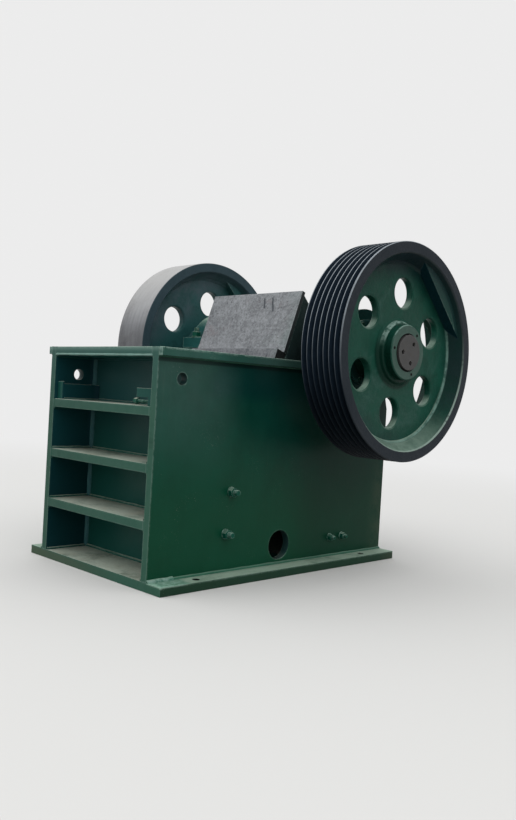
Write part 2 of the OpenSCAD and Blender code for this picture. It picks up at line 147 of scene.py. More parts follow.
class Shader(Nodes):
    """The nodes of a material. It works in the frame's metres, so a pattern keeps its size."""

    def __init__(self, name, rough=0.5):
        self.material = bpy.data.materials.new(name)
        self.material.use_nodes = True
        super().__init__(self.material.node_tree)
        self.surface = self.tree.nodes["Principled BSDF"]
        self.surface.inputs["Roughness"].default_value = rough
        coordinates = self.add("TexCoord", {}).outputs
        self.place = coordinates["Object"]
        self.x, self.y, self.z = self.split(self.place)
        self.across = self.math("ABSOLUTE", self.x)
        facing_x, self.rearward, self.up = self.split(coordinates["Normal"])
        self.sideways = self.math("ABSOLUTE", facing_x)

    def in_side_hole(self):
        """1 within the thickness of a side plate, where only the walls of its holes are."""
        return self.near(self.across, SIDE_MIDDLE, SIDE_HALF - 0.003, 0.002)

    def scaled(self, x, y, z):
        return self.add("VectorMath", {0: self.place, 1: (x, y, z)}, operation="MULTIPLY").outputs[0]

    def noise(self, scale, detail=4.0, rough=0.55, vector=None, bend=0.0):
        inputs = {"Vector": vector or self.place, "Scale": scale, "Detail": detail, "Roughness": rough,
                  "Distortion": bend}
        return self.add("TexNoise", inputs).outputs["Fac"]

    def wander(self, scale, detail, rough, reach):
        """Noise about 0, over a reach in metres."""
        return self.times(self.plus(self.noise(scale, detail, rough), -0.5), reach)

    def edges(self, distance):
        """1 along outer edges."""
        node = self.add("AmbientOcclusion", {"Distance": distance}, inside=True, samples=6)
        return self.minus(1.0, node.outputs["AO"])

    def corners(self, distance):
        """1 deep in inner corners."""
        node = self.add("AmbientOcclusion", {"Distance": distance}, samples=6)
        return self.minus(1.0, node.outputs["AO"])

    def radius(self):
        """Distance from the shaft's axis."""
        return self.length(self.minus(self.y, AXIS_Y), self.minus(self.z, AXIS_Z))

    def towards(self, degrees):
        """Distance from the shaft's axis along one direction in the wheel's plane, 0 to the rear and 90 up."""
        a = math.radians(degrees)
        rearward = self.times(self.minus(self.y, AXIS_Y), math.cos(a))
        return self.plus(rearward, self.times(self.minus(self.z, AXIS_Z), math.sin(a)))

    def slant(self):
        """Distance across the guard plate's slanting scratches."""
        return self.plus(self.x, self.times(self.z, 0.4))

    def bump(self, height, distance, strength=1.0):
        inputs = {"Height": height, "Distance": distance, "Strength": strength}
        normal = self.surface.inputs["Normal"]
        if normal.is_linked:
            inputs["Normal"] = normal.links[0].from_socket
        self.feed(normal, self.add("Bump", inputs).outputs[0])

    def dull(self):
        self.surface.inputs["Specular IOR Level"].default_value = 0.1

    def done(self, colour, rough=None, metal=None):
        self.feed(self.surface.inputs["Base Color"], colour)
        if rough is not None:
            self.feed(self.surface.inputs["Roughness"], rough)
        if metal is not None:
            self.feed(self.surface.inputs["Metallic"], metal)
        return self.material


DUST = rgb(186, 196, 182)
WORN = rgb(138, 166, 156)
GREEN = rgb(8, 68, 54)


def painted(s, base, wear=1.0, cast=False, patch=0.0, edge=0.011, rubbed_from=None):
    """Brushed-on enamel: cloudy, with sagging streaks, worn edges and painted shade in its corners. Gives colour and
    roughness.

    patch is how strong its dark blotches are, edge how wide the worn edges are and rubbed_from the height where
    the worn edges start.
    """
    s.dull()
    broad = s.noise(1.6, 5, 0.62, bend=0.4)
    cloud = s.noise(9, 6, 0.65)
    colour = s.mix(s.level(broad, 0.32, 0.68), shade(base, 0.82), shade(base, 1.16))
    colour = s.mix(s.level(cloud, 0.42, 0.74, 0.0, 0.35), colour, shade(base, 1.35))
    if patch:
        spots = s.level(s.noise(5.5, 7, 0.7, bend=0.8), 0.5, 0.66, 0.0, patch)
        colour = s.mix(spots, colour, shade(base, 0.55))
    runs = s.level(s.noise(1, 5, 0.65, s.scaled(46, 46, 2.4)), 0.56, 0.78)
    film = s.times(runs, s.level(s.up, 0.2, 0.5, 0.06, 0.0))
    colour = s.mix(film, colour, rgb(104, 118, 108))
    # Painted shade: the paint darkens deep in inner corners, where shade falls.
    corner_shade = s.level(s.corners(0.07), 0.3, 0.85, 0.0, 0.7)
    colour = s.mix(corner_shade, colour, shade(base, 0.42))
    rub = s.times(s.level(s.edges(edge), 0.16, 0.42), s.level(s.noise(38, 5, 0.7), 0.36, 0.6),
                  s.level(s.up, 0.1, 0.6, 0.45 * wear, 0.85 * wear))
    if rubbed_from is not None:
        rub = s.times(rub, s.level(s.z, rubbed_from, rubbed_from + 0.008))
    colour = s.mix(s.math("MINIMUM", rub, 0.9), colour, WORN)
    nick = s.times(s.level(s.noise(210, 2, 0.5), 0.68, 0.74), s.level(s.noise(6, 3, 0.5), 0.5, 0.68),
                   0.5 * wear)
    colour = s.mix(nick, colour, rgb(150, 160, 150))
    s.bump(s.noise(26, 4, 0.6), 0.004, 0.16)
    s.bump(s.noise(120, 3, 0.6), 0.0008, 0.35)
    if cast:
        s.bump(s.noise(70, 6, 0.7), 0.004, 0.45)
        s.bump(s.noise(9, 4, 0.6), 0.012, 0.35)
    rough = s.plus(s.level(cloud, 0.3, 0.8, 0.3, 0.46), s.times(rub, 0.25))
    return colour, rough


def dusted(s, colour, rough, amount):
    """Pale yard dust on faces that look up, broken at its edges, and thinner outside the side plates."""
    drift = s.plus(s.times(s.noise(3.2, 6, 0.65, bend=0.5), 0.7), s.times(s.noise(34, 4, 0.7), 0.3))
    foot = s.times(s.near(s.across, SIDE_X, 0.012, 0.04), s.level(s.noise(2.6, 4, 0.6), 0.4, 0.6))
    lying = s.times(s.level(s.up, 0.55, 0.93), s.level(drift, 0.3, 0.55, 0.3, 1.0),
                    s.level(s.across, INNER_X, SIDE_X, 1.0, 0.85), amount)
    lying = s.times(lying, s.level(s.in_side_hole(), 0.0, 1.0, 1.0, 0.12), s.level(foot, 0.0, 1.0, 1.0, 0.75))
    tone = s.mix(s.noise(60, 4, 0.6), DUST, shade(DUST, 0.62))
    tone = s.mix(s.level(s.across, INNER_X, SIDE_X, 0.0, 0.5), tone, rgb(168, 204, 182))
    tan = s.times(s.level(s.noise(7, 5, 0.65), 0.42, 0.7, 0.0, 0.4),
                  s.level(s.across, INNER_X, SIDE_X, 1.0, 0.15))
    tone = s.mix(tan, tone, rgb(160, 152, 134))
    shelf = s.times(s.near(s.z, RIB_TOPS[2], 0.01, 0.01), s.level(s.y, -0.72, -0.88), 0.4)
    tone = s.mix(shelf, tone, rgb(206, 216, 204))
    colour = s.mix(lying, colour, tone)
    return colour, s.plus(rough, s.times(lying, 0.4))


def inside_tones(s, colour):
    """Painted light between the side plates: a bluish sky tint, shade low on their inner faces, a grey sky sheen on
    the front wall.
    """
    inside = s.level(s.across, INNER_X + 0.001, INNER_X + 0.003, 0.85, 0.0)
    # Painted shade: the inner side faces darken towards the bottom; their blue is a painted sky tint.
    side_wall = s.mix(s.level(s.z, 0.9, 0.35), rgb(24, 66, 74), rgb(15, 50, 58))
    other = s.mix(s.noise(3, 4, 0.6), rgb(18, 68, 62), rgb(30, 80, 74))
    tone = s.mix(s.level(s.sideways, 0.8, 0.9), other, side_wall)
    colour = s.mix(s.times(inside, s.below(s.up, 0.3, 0.6)), colour, tone)
    # Painted sky sheen: bluish grey high on the front wall.
    front_wall = s.times(inside, s.level(s.z, 0.55, 1.0), s.level(s.y, -0.7, -0.68), s.level(s.y, -0.6, -0.62))
    return s.mix(s.times(front_wall, 0.22), colour, rgb(70, 92, 112))


def outside_tones(s, colour):
    """Painted shade by the wheel, top edge, rear and under the rail; greener painted ground reflection low; sky
    sheen in front.
    """
    outside = s.level(s.across, SIDE_X - 0.003, SIDE_X - 0.001)
    above = s.level(s.z, BASE_TOP, BASE_TOP + 0.01)
    on_wall = s.level(s.across, SIDE_X + 0.012, SIDE_X + 0.02, 1.0, 0.3)
    # Painted shade of the wheel on the side plate.
    wheel_shade = s.level(s.plus(s.radius(), s.wander(2.4, 5, 0.6, 0.4)), 0.62, 1.05, 0.5, 0.0)
    colour = s.mix(s.times(outside, above, on_wall, wheel_shade), colour, rgb(2, 40, 42))
    # Painted shade along the upper side plate behind the front.
    top_edge_shade = s.level(s.plus(s.y, s.wander(5, 4, 0.6, 0.3)), -0.62, -0.48, 0.0, 0.45)
    colour = s.mix(s.times(outside, on_wall, s.level(s.z, 0.9, 1.0), top_edge_shade), colour, rgb(2, 44, 48))
    # Painted ground reflection: greener paint low on the side plate.
    colour = s.mix(s.times(outside, s.level(s.z, 0.9, 0.25, 0.0, 0.45)), colour, rgb(16, 68, 38))
    # Painted sky sheen: paler bluish paint high on the front part.
    sky_sheen = s.times(outside, above, s.level(s.z, 0.45, 1.1), s.level(s.y, -0.3, -0.6),
                    s.level(s.noise(3.5, 5, 0.6), 0.3, 0.7, 0.6, 1.0), 0.12)
    colour = s.mix(sky_sheen, colour, rgb(150, 172, 176))
    # Painted shade towards the rear of the side plate.
    colour = s.mix(s.times(outside, above, s.level(s.y, 0.0, 0.4, 0.0, 0.45)), colour, rgb(8, 42, 32))
    base_side = s.times(s.level(s.across, SIDE_X + 0.05, SIDE_X + 0.08), s.level(s.sideways, 0.7, 0.9))
    colour = s.mix(s.times(base_side, 0.27), colour, rgb(60, 42, 46))
    rear = s.times(s.level(s.y, 0.76, 0.9), s.level(s.z, 1.0, 0.3), s.level(s.noise(6, 5, 0.7), 0.3, 0.6), 0.05)
    colour = s.mix(rear, colour, rgb(190, 176, 150))
    rail = s.times(s.level(s.across, SIDE_X + 0.012, SIDE_X + 0.02), s.level(s.z, 1.1, 1.12),
                   s.level(s.y, -0.6, -0.2, 0.0, 0.4), s.below(s.y, 0.14, 0.15))
    colour = s.mix(rail, colour, rgb(80, 100, 98))
    # Painted shadow: a dark band just under the rail.
    rail_shadow = s.times(outside, s.near(s.z, 1.121, 0.008, 0.009), s.level(s.y, SEAT_FRONT, 0.16, 0.65, 0.0))
    colour = s.mix(rail_shadow, colour, rgb(4, 24, 22))
    hole_wall = s.times(s.in_side_hole(), s.level(s.y, -0.9, -0.89),
                        s.below(s.z, TOP - 0.03, TOP - 0.02), 0.8)
    return s.mix(hole_wall, colour, rgb(34, 52, 56))


def front_tones(s, colour, front, edge, wear):
    """Scuffed and bleached faces at the very front, rubbed along their edges. front is how far they are so."""
    ahead = s.times(s.below(s.rearward, -0.9, -0.6), s.below(s.y, -0.91, -0.9))
    tone = s.mix(s.noise(14, 5, 0.65), rgb(42, 84, 70), rgb(66, 104, 88))
    tone = s.mix(s.level(s.noise(5, 6, 0.7, bend=0.6), 0.55, 0.7, 0.0, 0.5), tone, rgb(30, 62, 50))
    # Painted shade on the far side, a painted bluish sky tint higher up and a painted highlight along the top band.
    tone = s.mix(s.level(s.x, -0.5, 0.5, 0.3, 0.0), tone, rgb(26, 56, 44))
    tone = s.mix(s.level(s.z, 0.8, 1.15, 0.0, 0.3), tone, rgb(60, 100, 104))
    tone = s.mix(s.level(s.z, 1.148, 1.17, 0.0, 0.6), tone, rgb(112, 142, 134))
    mud = s.times(s.level(s.z, BASE_TOP, 0.035, 0.0, 0.3), s.level(s.x, 0.35, -0.3))
    tone = s.mix(mud, tone, rgb(104, 92, 66))
    colour = s.mix(s.times(ahead, front), colour, tone)
    rub = s.times(ahead, s.level(s.edges(edge), 0.16, 0.42), s.level(s.noise(30, 5, 0.7), 0.34, 0.56),
                  s.level(s.z, BASE_TOP - 0.01, BASE_TOP), 0.27 * wear)
    return s.mix(s.math("MINIMUM", rub, 0.85), colour, WORN)


def plate_tones(s, colour, front, edge, wear):
    """How the plates' paint differs over the machine."""
    return front_tones(s, outside_tones(s, inside_tones(s, colour)), front, edge, wear)


def paint_material(name, base=GREEN, wear=1.0, dust=0.9, cast=False, patch=0.0, front=0.0, edge=0.011,
                   rubbed_from=None):
    s = Shader(name)
    colour, rough = painted(s, base, wear, cast, patch, edge, rubbed_from)
    if front:
        colour = plate_tones(s, colour, front, edge, wear)
    colour, rough = dusted(s, colour, rough, dust)
    return s.done(colour, rough)


def base_material():
    """The base plate's paint: a mottled repainted pad at the near front corner and painted shade in the bolt holes.
    """
    s = Shader("base_paint")
    # Edges are worn only near the top, and their pale line is also a painted highlight.
    colour, rough = painted(s, shade(GREEN, 1.05), wear=1.5, edge=0.018, rubbed_from=0.03)
    colour = plate_tones(s, colour, 0.8, 0.011, 0.6)
    colour, rough = dusted(s, colour, rough, 0.87)
    near_side = s.level(s.x, SIDE_X, SIDE_X + 0.004)
    pad = s.times(s.level(s.up, 0.6, 0.9), near_side,
                  s.level(s.plus(s.y, s.times(s.noise(9, 4, 0.6), 0.12)), -0.66, -0.7))
    mottle = s.mix(s.level(s.noise(30, 5, 0.7, bend=0.8), 0.4, 0.62), rgb(78, 124, 106), rgb(128, 164, 148))
    mottle = s.mix(s.level(s.noise(44, 4, 0.6), 0.6, 0.68, 0.0, 0.7), mottle, rgb(30, 72, 58))
    colour = s.mix(s.times(pad, 0.85), colour, mottle)
    # Worn paint and a painted highlight along the top front edges.
    rim = s.times(s.level(s.edges(0.012), 0.16, 0.4), s.level(s.z, 0.034, 0.042), near_side,
                  s.level(s.y, -0.7, -0.8, 0.25, 0.8))
    colour = s.mix(rim, colour, rgb(150, 182, 166))
    # Painted shade: dark walls in the bolt holes.
    from_bolt = s.length(s.minus(s.across, BASE_BOLT_X), s.minus(s.math("ABSOLUTE", s.y), BASE_BOLT_Y))
    colour = s.mix(s.below(from_bolt, 0.0188, 0.0205), colour, rgb(8, 18, 18))
    return s.done(colour, rough)


def sheave_web_tones(s, r, colour):
    """Pale areas and overspray on the web; painted rim shadow above, shade on the rim's inner wall, highlight at its
    foot.
    """
    pale = s.times(s.level(s.noise(3.6, 6, 0.7, bend=1.0), 0.5, 0.7), s.level(r, 0.5, 0.42, 0.0, 0.5))
    colour = s.mix(pale, colour, rgb(58, 94, 86))
    # Painted shade: the wall inside the rim is dark except where it faces up.
    rim_wall_shade = s.times(s.level(r, WEB_EDGE + 0.001, WEB_EDGE + 0.005),
                   s.level(s.x, WEB_FACE + 0.002, WEB_FACE + 0.007), s.level(s.up, 0.8, 0.1, 0.2, 0.85))
    colour = s.mix(rim_wall_shade, colour, rgb(2, 38, 36))
    overspray = s.times(s.level(r, 0.4, 0.54), s.level(s.noise(4.2, 5, 0.65, bend=0.6), 0.42, 0.62),
                        s.level(s.towards(150), -0.2, 0.35, 0.3, 0.95))
    colour = s.mix(overspray, colour, rgb(34, 48, 56))
    # Painted shadow of the rim on the upper web.
    rim_shadow = s.times(s.level(r, 0.34, 0.5), s.level(s.towards(80), 0.1, 0.5, 0.0, 0.6))
    colour = s.mix(rim_shadow, colour, rgb(8, 28, 34))
    # Painted highlight, with some dust, along the lower rear foot of the wall.
    rub = s.times(s.near(r, WEB_EDGE + 0.0015, 0.002, 0.005), s.level(s.x, WEB_FACE - 0.003, WEB_FACE - 0.001),
                  s.level(s.towards(-45), 0.05, 0.4), s.level(s.noise(16, 5, 0.7), 0.34, 0.56, 0.2, 0.8))
    return s.mix(rub, colour, rgb(120, 156, 146))


def sheave_hub_tones(s, r, colour):
    """Painted shade under the hub, its dusty face, scuffs and a painted highlight on its rings, grease and shade in
    the counterbore.
    """
    # Painted shade on the hub's flank below the shaft.
    hub_underside_shade = s.times(s.below(s.x, HUB_FACE - 0.008, HUB_FACE - 0.002), s.below(r, 0.195, 0.215),
                    s.level(s.towards(80), 0.1, -0.04, 0.0, 0.9))
    colour = s.mix(hub_underside_shade, colour, rgb(6, 44, 34))
    face = s.times(s.level(s.x, HUB_FACE - 0.0015, HUB_FACE - 0.0005), s.below(r, 0.156, 0.157), 0.75)
    colour = s.mix(face, colour, s.mix(s.noise(18, 5, 0.7), rgb(58, 84, 76), rgb(88, 110, 102)))
    # Scuffs and a painted highlight on the upper front edges of the hub's rings.
    rings = s.either(s.times(s.near(r, 0.1525, 0.002, 0.003), s.level(s.x, HUB_FACE - 0.008, HUB_FACE - 0.003)),
                     s.times(s.near(r, 0.172, 0.006, 0.005), s.level(s.x, WEB_FACE + 0.007, WEB_FACE + 0.011)))
    rings = s.times(rings, s.level(s.towards(115), 0.09, 0.16, 0.0, 0.85),
                    s.level(s.noise(26, 6, 0.75), 0.36, 0.54))
    colour = s.mix(rings, colour, rgb(142, 172, 162))
    # Grease and painted shade in the counterbore.
    grease_and_shade = s.times(s.level(s.x, 0.9165, 0.92), s.below(r, 0.1065, 0.1075))
    return s.mix(grease_and_shade, colour, rgb(12, 18, 20))


def groove_tones(s, r, up, colour):
    """Near-black grooves with painted shade facing down, and tips whose glint is a painted sky reflection. Gives the
    tips' pattern too.
    """
    bottom = WHEEL - GROOVE_DEPTH
    inside = s.times(s.level(s.x, RIM_BACK + 0.002, RIM_BACK + 0.006),
                     s.below(s.x, RIM_FACE - 0.0055, RIM_FACE - 0.0025), s.level(r, bottom - 0.002, bottom - 0.0005))
    black = s.mix(s.noise(40, 4, 0.6), rgb(16, 28, 38), rgb(32, 46, 60))
    # Painted shade: the grooves darken where they face down.
    black = s.mix(s.level(up, -0.1, -0.7, 0.0, 0.75), black, rgb(3, 9, 15))
    colour = s.mix(inside, colour, black)
    step = s.math("DIVIDE", s.minus(s.x, FIRST_TIP_X), GROOVE_PITCH)
    off = s.math("ABSOLUTE", s.minus(step, s.math("ROUND", step)))
    line = s.either(s.below(off, 0.04, 0.07), s.level(s.x, RIM_FACE - 0.0045, RIM_FACE - 0.003))
    # Painted reflection: the tips are brightest on top and fade where they face down.
    tip = s.times(s.level(r, WHEEL - 0.004, WHEEL - 0.002), line, s.level(up, -0.45, 0.75, 0.03, 1.0))
    bright = s.mix(s.noise(16, 4, 0.6), rgb(128, 138, 146), rgb(184, 192, 198))
    return s.mix(tip, colour, bright), tip


def balance_tones(s, colour, r):
    """Plain paint of the balance weight, with painted shade on its straight side and underneath."""
    along = s.towards(BALANCE_TURN)
    block = s.times(s.level(along, BALANCE_CHORD - 0.003, BALANCE_CHORD - 0.001),
                    s.level(s.x, WEB_FACE + 0.001, WEB_FACE + 0.003), s.level(r, 0.556, 0.552),
                    s.level(s.x, BALANCE_FACE + 0.0005, BALANCE_FACE - 0.001))
    plain = s.mix(s.noise(9, 5, 0.65), rgb(28, 62, 60), rgb(46, 78, 76))
    # Painted shade on the straight side and underneath.
    dark = s.either(s.below(along, BALANCE_CHORD + 0.0005, BALANCE_CHORD + 0.0015), s.level(s.up, -0.1, -0.5))
    return s.mix(block, colour, s.mix(dark, plain, rgb(14, 48, 56)))


def sheave_material():
    """Green casting with a dark machined rim, near-black grooves and bright tips between them."""
    s = Shader("sheave_finish")
    r = s.radius()
    up = s.math("DIVIDE", s.towards(90), s.either(r, 0.05))
    colour, rough = painted(s, rgb(22, 76, 62), wear=1.3, cast=True, patch=0.5)
    colour = sheave_hub_tones(s, r, sheave_web_tones(s, r, colour))
    dark = s.mix(s.noise(24, 5, 0.65), rgb(28, 36, 43), rgb(48, 54, 61))
    dark = s.mix(s.level(s.noise(3, 5, 0.6), 0.45, 0.7, 0.0, 0.6), dark, rgb(24, 34, 42))
    dark = s.mix(s.times(s.level(s.edges(0.008), 0.2, 0.5), 0.4), dark, rgb(96, 106, 108))
    rim = s.level(s.plus(r, s.wander(7, 5, 0.7, 0.014)), RIM_INNER - 0.004, RIM_INNER + 0.003)
    colour = s.mix(rim, colour, dark)
    # Painted highlight on the lower inner edge of the rim.
    lip_highlight = s.times(s.near(r, RIM_INNER + 0.002, 0.002, 0.003), s.level(s.x, RIM_FACE - 0.01, RIM_FACE - 0.007),
                  s.level(s.towards(-80), -0.1, 0.4, 0.05, 0.85), s.level(s.noise(12, 5, 0.7), 0.3, 0.5))
    colour = s.mix(lip_highlight, colour, rgb(150, 172, 162))
    colour, tip = groove_tones(s, r, up, colour)
    in_hole = s.below(r, WEB_EDGE - 0.005, WEB_EDGE)
    ledge = s.times(s.level(s.plus(s.up, s.times(in_hole, 0.35)), 0.5, 1.02), s.level(r, 0.19, 0.2),
                    s.below(r, 0.56, 0.565), s.level(s.noise(18, 5, 0.7), 0.25, 0.6, 0.5, 0.85))
    colour = s.mix(ledge, colour, rgb(130, 154, 140))
    colour = balance_tones(s, colour, r)
    s.bump(s.noise(1, 2, 0.5, s.scaled(900, 3, 3)), 0.0006, 0.25)
    rough = s.plus(s.times(rough, s.minus(1.0, rim)), s.times(rim, 0.5))
    return s.done(colour, rough, s.times(tip, 0.3))


def flywheel_material():
    """Green casting with a dark rim face and a plain machined tread, with a painted sky reflection on top and
    painted shade below.
    """
    s = Shader("flywheel_finish")
    r = s.radius()
    colour, rough = painted(s, rgb(40, 84, 84), wear=0.8, cast=True, patch=0.35)
    spray = s.times(s.level(s.towards(125), 0.2, 0.42, 0.0, 0.85), s.level(s.noise(4, 5, 0.65), 0.3, 0.6))
    colour = s.mix(spray, colour, rgb(84, 98, 108))
    dark = s.mix(s.noise(18, 5, 0.65), rgb(42, 60, 68), rgb(62, 82, 90))
    dark = s.mix(s.times(s.level(s.edges(0.008), 0.2, 0.5), 0.5), dark, rgb(110, 118, 120))
    rim = s.level(s.plus(r, s.wander(7, 5, 0.7, 0.012)), RIM_INNER - 0.03, RIM_INNER + 0.004)
    colour = s.mix(rim, colour, dark)
    tread = s.level(r, WHEEL - 0.0025, WHEEL - 0.0005)
    streak = s.noise(1, 5, 0.65, s.scaled(42, 5, 5))
    tool_marks = s.noise(1, 3, 0.6, s.scaled(420, 4, 4))
    bare = s.mix(streak, rgb(104, 106, 110), rgb(166, 168, 172))
    bare = s.mix(s.level(s.noise(6, 6, 0.7), 0.48, 0.72, 0.0, 0.6), bare, rgb(86, 84, 86))
    bare = s.mix(s.times(s.level(tool_marks, 0.55, 0.8), 0.35), bare, rgb(190, 191, 194))
    # Painted shade where the tread faces sideways or down, painted sky reflection where it faces up.
    bare = s.mix(s.level(s.up, 0.0, 0.45, 0.55, 0.0), bare, rgb(66, 67, 70))
    bare = s.mix(s.level(s.up, 0.15, 0.85, 0.0, 0.6), bare, rgb(206, 206, 204))
    colour = s.mix(tread, colour, bare)
    s.bump(tool_marks, 0.0008, s.times(tread, 0.4))
    rough = s.plus(s.times(rough, s.minus(1.0, rim)), s.times(rim, 0.44))
    return s.done(colour, rough, s.times(tread, 0.55))


def side_darkened(s, colour, dark):
    """Unrubbed dark skin on the faces that look along X."""
    skin = s.mix(s.noise(20, 4, 0.6), shade(dark, 0.7), shade(dark, 1.3))
    return s.mix(s.level(s.sideways, 0.7, 0.95), colour, skin)


def rolled_skin(s):
    """Bare rolled plate: grey scale, faint runs, pits, scratches and pinkish stains. Gives three patterns too."""
    cloud = s.noise(5.5, 7, 0.72, bend=0.8)
    colour = s.mix(s.level(cloud, 0.35, 0.65), rgb(98, 102, 106), rgb(138, 142, 146))
    fleck = s.noise(58, 5, 0.8)
    colour = s.mix(s.level(fleck, 0.46, 0.64, 0.0, 0.55), colour, rgb(160, 163, 168))
    colour = s.mix(s.level(fleck, 0.46, 0.34, 0.0, 0.5), colour, rgb(82, 86, 92))
    lanes = s.add("CombineXYZ", {0: s.times(s.slant(), 56), 1: s.times(s.z, 9)}).outputs[0]
    streak = s.noise(1, 6, 0.75, lanes)
    colour = s.mix(s.level(streak, 0.52, 0.7, 0.0, 0.3), colour, rgb(156, 159, 164))
    colour = s.mix(s.level(streak, 0.46, 0.3, 0.0, 0.35), colour, rgb(88, 90, 96))
    speck = s.noise(78, 3, 0.6)
    colour = s.mix(s.level(speck, 0.57, 0.67, 0.0, 0.6), colour, rgb(64, 68, 76))
    colour = s.mix(s.level(speck, 0.36, 0.28, 0.0, 0.5), colour, rgb(172, 174, 178))
    stain = s.level(s.noise(5, 4, 0.6, bend=0.8), 0.55, 0.72, 0.0, 0.35)
    colour = s.mix(stain, colour, rgb(140, 122, 124))
    green = s.times(s.level(s.noise(3, 4, 0.6), 0.4, 0.6), s.level(s.x, 0.1, 0.36), 0.35)
    colour = s.mix(green, colour, rgb(112, 132, 128))
    pit = s.level(s.noise(1, 3, 0.6, s.scaled(95, 60, 60)), 0.62, 0.68)
    pit = s.times(pit, s.level(s.noise(4.5, 4, 0.6), 0.4, 0.56), 0.85)
    colour = s.mix(pit, colour, rgb(48, 52, 58))
    return colour, cloud, streak, pit


def guard_material():
    """The guard plate's rolled skin with two short gouges near its top edge."""
    s = Shader("guard_finish")
    colour, cloud, streak, pit = rolled_skin(s)
    for place, height, half_length in ((0.706, 1.524, 0.026), (0.775, 1.514, 0.038)):
        wavy = s.plus(s.slant(), s.wander(30, 4, 0.7, 0.012))
        gouge = s.times(s.near(wavy, place, 0.004, 0.005), s.near(s.z, height, half_length, 0.012))
        colour = s.mix(s.times(gouge, 0.9), colour, rgb(40, 48, 56))
        pit = s.either(pit, gouge)
    band = s.level(s.noise(1, 4, 0.6, s.scaled(5, 46, 46)), 0.6, 0.74, 0.0, 0.35)
    colour = s.mix(band, colour, rgb(160, 164, 166))
    cut = s.times(s.level(s.edges(0.007), 0.2, 0.5), s.level(s.noise(55, 4, 0.6), 0.3, 0.6), 0.6)
    colour = s.mix(cut, colour, rgb(170, 178, 178))
    colour = side_darkened(s, colour, rgb(44, 50, 52))
    s.bump(streak, 0.002, 0.3)
    s.bump(pit, 0.0016, -0.5)
    s.bump(s.noise(130, 4, 0.6), 0.001, 0.3)
    return s.done(colour, s.level(cloud, 0.3, 0.7, 0.5, 0.68), 0.15)


def cast_wear_material(name, dark, pale, rusty=0.7, dust=0.5, rolled_from=None):
    """Manganese casting as it left the mould: sand grain, thin rust and grey rubbed crests.

    Above the height rolled_from it looks like rolled plate.
    """
    s = Shader(name, rough=0.7)
    cloud = s.noise(6, 6, 0.7, bend=0.4)
    colour = s.mix(cloud, dark, pale)
    rust = s.level(s.noise(11, 7, 0.72, bend=0.7), 0.5, 0.68, 0.0, rusty)
    colour = s.mix(rust, colour, s.mix(s.noise(40, 4, 0.6), rgb(96, 66, 46), rgb(122, 84, 58)))
    rub = s.times(s.level(s.edges(0.012), 0.14, 0.45), s.level(s.noise(30, 4, 0.6), 0.3, 0.6), 0.7)
    colour = s.mix(rub, colour, rgb(150, 148, 146))
    # Painted shade in inner corners.
    colour = s.mix(s.level(s.corners(0.09), 0.35, 0.9, 0.0, 0.6), colour, rgb(34, 30, 28))
    if rolled_from is not None:
        skin = s.mix(0.25, rolled_skin(s)[0], rgb(70, 72, 78))
        colour = s.mix(s.level(s.z, rolled_from, rolled_from + 0.05), colour, skin)
    colour = side_darkened(s, colour, rgb(40, 42, 42))
    s.bump(s.noise(90, 6, 0.7), 0.003, 0.6)
    s.bump(s.noise(14, 4, 0.6), 0.01, 0.4)
    colour, rough = dusted(s, colour, s.level(cloud, 0.3, 0.7, 0.55, 0.78), dust)
    return s.done(colour, rough, 0.3)


def bare_steel_material(name, tone=1.0, rust=0.4, metal=0.75, rough=0.42):
    s = Shader(name)
    cloud = s.noise(18, 6, 0.68)
    colour = s.mix(cloud, shade(rgb(118, 118, 118), tone), shade(rgb(160, 160, 160), tone))
    spots = s.level(s.noise(30, 7, 0.72, bend=0.6), 0.54, 0.68, 0.0, rust)
    colour = s.mix(spots, colour, rgb(104, 72, 50))
    # Painted shade in inner corners.
    colour = s.mix(s.level(s.corners(0.03), 0.3, 0.85, 0.0, 0.65), colour, rgb(36, 32, 30))
    colour = s.mix(s.times(s.level(s.edges(0.004), 0.2, 0.5), 0.5), colour, rgb(196, 196, 196))
    s.bump(s.noise(160, 4, 0.6), 0.0008, 0.4)
    rough = s.plus(s.level(cloud, 0.3, 0.7, rough - 0.07, rough + 0.1), s.times(spots, 0.5))
    return s.done(colour, rough, metal)


def hole_shade_material():
    """A dark sheet of painted shade at the bottom of a small hole."""
    s = Shader("shade_in_hole", rough=0.85)
    s.dull()
    return s.done(s.mix(s.noise(220, 3, 0.5), rgb(8, 9, 10), rgb(24, 24, 24)))


PAINT = paint_material("frame_paint", front=0.8)
# The rail's upper edges: worn paint that also serves as a painted highlight along its top.
PAINT_EDGE = paint_material("rail_paint", shade(GREEN, 1.3), wear=2.4, front=0.8, edge=0.018, rubbed_from=1.152)
PAINT_BASE = base_material()
PAINT_CAST = paint_material("casting_paint", rgb(36, 84, 82), wear=1.3, cast=True, patch=0.2)
PAINT_JAW = paint_material("jaw_paint", rgb(38, 52, 52), wear=0.7, dust=0.6, cast=True, patch=0.5)
PAINT_HARDWARE = paint_material("hardware_paint", shade(GREEN, 1.15), wear=1.1, edge=0.005)
# Painted highlight: the strip's pale paint stands for light on its upper side.
PAINT_STRIP_HIGHLIGHT = paint_material("strip_highlight_paint", rgb(96, 134, 126), wear=0.6, dust=0.6)
PAINT_CORNER = paint_material("corner_weld_paint", rgb(50, 96, 100), wear=0.2, dust=0.5)
PAINT_BEAD = paint_material("outer_weld_paint", rgb(46, 94, 76), wear=0.0, dust=0.3)
PAINT_LUMP = paint_material("lump_paint", rgb(64, 112, 96), wear=0.9, dust=0.4, patch=0.6)
PAINT_WELD = paint_material("weld_paint", shade(GREEN, 1.15), wear=0.2, dust=0.5, front=0.75)
SHEAVE = sheave_material()
FLYWHEEL = flywheel_material()
GUARD = guard_material()
WEAR = cast_wear_material("wear_casting", rgb(66, 65, 64), rgb(98, 96, 94))
WEAR_PALE = cast_wear_material("wear_casting_pale", rgb(112, 114, 118), rgb(158, 160, 162), rusty=0.12, dust=0.2,
                               rolled_from=1.1)
